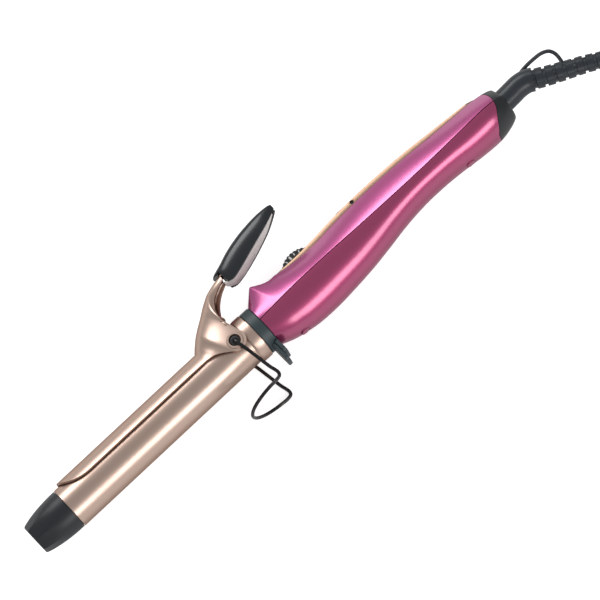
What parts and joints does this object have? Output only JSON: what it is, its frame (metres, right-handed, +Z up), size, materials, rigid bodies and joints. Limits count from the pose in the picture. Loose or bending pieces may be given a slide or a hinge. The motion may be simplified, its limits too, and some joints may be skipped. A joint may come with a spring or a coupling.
{
  "type": "curling iron",
  "caption": "Curling iron with a sprung clamp and thumb lever, cool tip, shaped two-shell handle, thumbwheel, rocker, wire stand and swivel cord.",
  "frame": {"origin": "under the middle of the iron without its cord, on the surface it lies on", "axes": "+X from the cool tip along the barrel to the cord, +Y towards the thumb lever, +Z up along the clamp's pivot axis"},
  "size_m": [0.5548, 0.1257, 0.038],
  "materials": {
    "champagne_metal": "satin rose-champagne plating",
    "pale_champagne": "pale satin metal plate",
    "black_plastic": "satin moulded black plastic",
    "grey_plastic": "heat-resistant dark grey plastic",
    "handle_deep": "metallic magenta, glossy",
    "handle_light": "lighter metallic magenta, glossy",
    "plain_steel": "plain steel",
    "dark_wire": "black-nickel plated wire",
    "heater_ceramic": "fired ceramic",
    "board_green": "coated glass-fibre board",
    "cord_black": "soft black cord jacket"
  },
  "bodies": {
    "handle": {"cool_tip": "black_plastic", "barrel": "champagne_metal", "heater_core": "heater_ceramic", "base_ferrule": "champagne_metal", "front_collar": "grey_plastic", "handle_upper_shell": "handle_light", "handle_lower_shell": "handle_deep", "end_cap": "black_plastic", "top_trim": "champagne_metal", "wheel_axle": "plain_steel", "screw_front": "plain_steel", "screw_rear": "plain_steel", "screw_cover_front": "handle_deep", "screw_cover_rear": "handle_deep", "control_board": "board_green", "pivot_tube": "plain_steel", "pivot_bush_near": "black_plastic", "pivot_bush_far": "black_plastic", "clamp_spring": "plain_steel"},
    "lever": {"clamp": "champagne_metal", "thumb_cap": "black_plastic", "thumb_insert": "pale_champagne"},
    "stand": {"stand_wire": "dark_wire"},
    "wheel": {"temperature_wheel": "black_plastic"},
    "rocker": {"power_rocker": "black_plastic"},
    "cord": {"swivel_boot": "cord_black", "swivel_retainer": "plain_steel", "cord_lead": "cord_black", "cord_coil": "cord_black", "cord_tail": "cord_black", "plug_body": "cord_black", "plug_pin_a": "plain_steel", "plug_pin_b": "plain_steel"}
  },
  "joints": [
    {"name": "clamp_hinge", "type": "hinge", "parent": "handle", "child": "lever", "pos_m": [-0.0581, -0.00796, 0.01902], "axis": [0, 0, -1], "range_deg": [0, 18], "stiffness_Nm_per_rad": 0.5, "springref_deg": -17.19},
    {"name": "stand_swing", "type": "hinge", "parent": "handle", "child": "stand", "pos_m": [-0.0581, -0.00796, 0.01902], "axis": [0, 0, 1], "range_deg": [-30, 85]},
    {"name": "wheel_turn", "type": "hinge", "parent": "handle", "child": "wheel", "pos_m": [-0.0029, -0.00186, 0.01902], "axis": [0, 0, 1], "range_deg": [-135, 135]},
    {"name": "rocker_tilt", "type": "hinge", "parent": "handle", "child": "rocker", "pos_m": [0.04065, 0.00803, 0.01902], "axis": [0, 0, 1], "range_deg": [0, 8]},
    {"name": "cord_swivel", "type": "hinge", "parent": "handle", "child": "cord", "pos_m": [0.13841, -0.00696, 0.01902], "axis": [1, 0, 0], "continuous": true}
  ]
}
